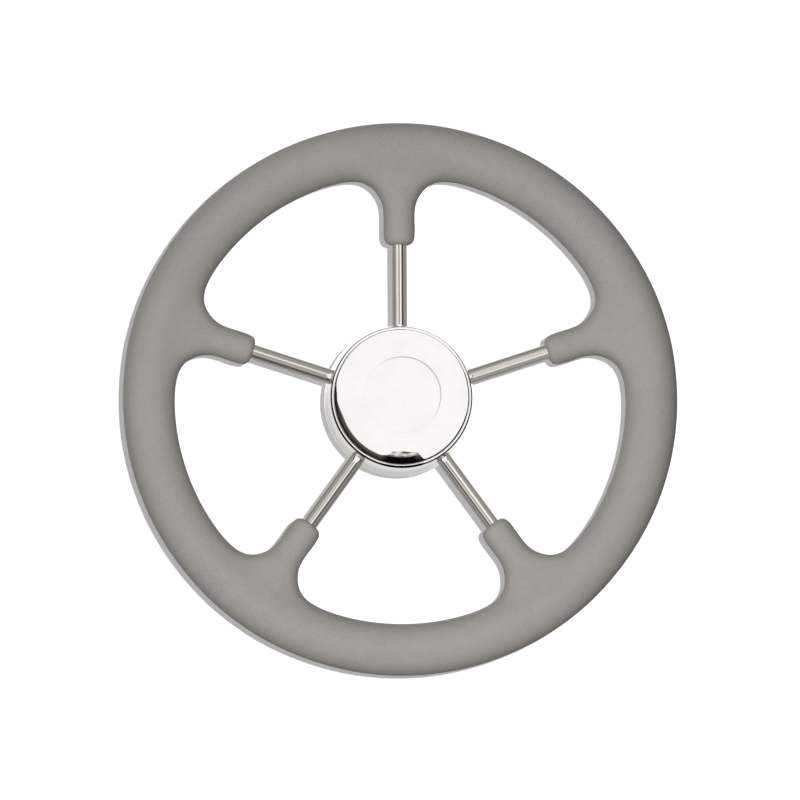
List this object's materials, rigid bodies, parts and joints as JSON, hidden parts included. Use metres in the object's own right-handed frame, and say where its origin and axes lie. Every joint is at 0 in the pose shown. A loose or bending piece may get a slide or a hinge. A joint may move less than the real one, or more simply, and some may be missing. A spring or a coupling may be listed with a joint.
{
  "type": "ship steering wheel",
  "caption": "Flat boat steering wheel: a round soft moulded grip with boots over straight polished rods, a polished round hub with a tapered shaft bore and a push-in domed cap.",
  "frame": {"origin": "on the spin axis, at the rear face of the boss where the helm shaft comes in", "axes": "+Y along the spin axis towards the helm, so the front faces -Y; +Z from the axis to the top spoke; +X to the right seen from the front"},
  "size_m": [0.3496, 0.0576, 0.3501],
  "materials": {
    "grey_polyurethane": "matt moulded integral-skin foam with a very fine grain, warm mid grey",
    "polished_steel": "mirror polished stainless steel with fine hairlines",
    "machined_steel": "turned stainless steel",
    "rim_bar_steel": "drawn bar, unpolished",
    "plated_steel": "satin stainless fasteners",
    "black_nylon": "moulded, matt",
    "black_nitrile": "matt"
  },
  "bodies": {
    "wheel": {"soft_grip": "grey_polyurethane", "rim_core_ring": "rim_bar_steel", "spoke_1": "polished_steel", "spoke_2": "polished_steel", "spoke_3": "polished_steel", "spoke_4": "polished_steel", "spoke_5": "polished_steel", "hub_shell": "polished_steel", "hub_plate": "machined_steel", "taper_boss": "machined_steel", "boss_screw_1": "plated_steel", "boss_screw_2": "plated_steel", "boss_screw_3": "plated_steel", "boss_screw_4": "plated_steel", "boss_screw_5": "plated_steel", "lock_washer_1": "plated_steel", "lock_washer_2": "plated_steel", "lock_washer_3": "plated_steel", "lock_washer_4": "plated_steel", "lock_washer_5": "plated_steel"},
    "cap": {"cap_shell": "polished_steel", "cap_plug": "black_nylon", "cap_o_ring": "black_nitrile"}
  },
  "joints": [
    {"name": "cap_pull", "type": "slide", "parent": "wheel", "child": "cap", "axis": [0, -1, 0], "range_m": [0, 0.05]}
  ]
}
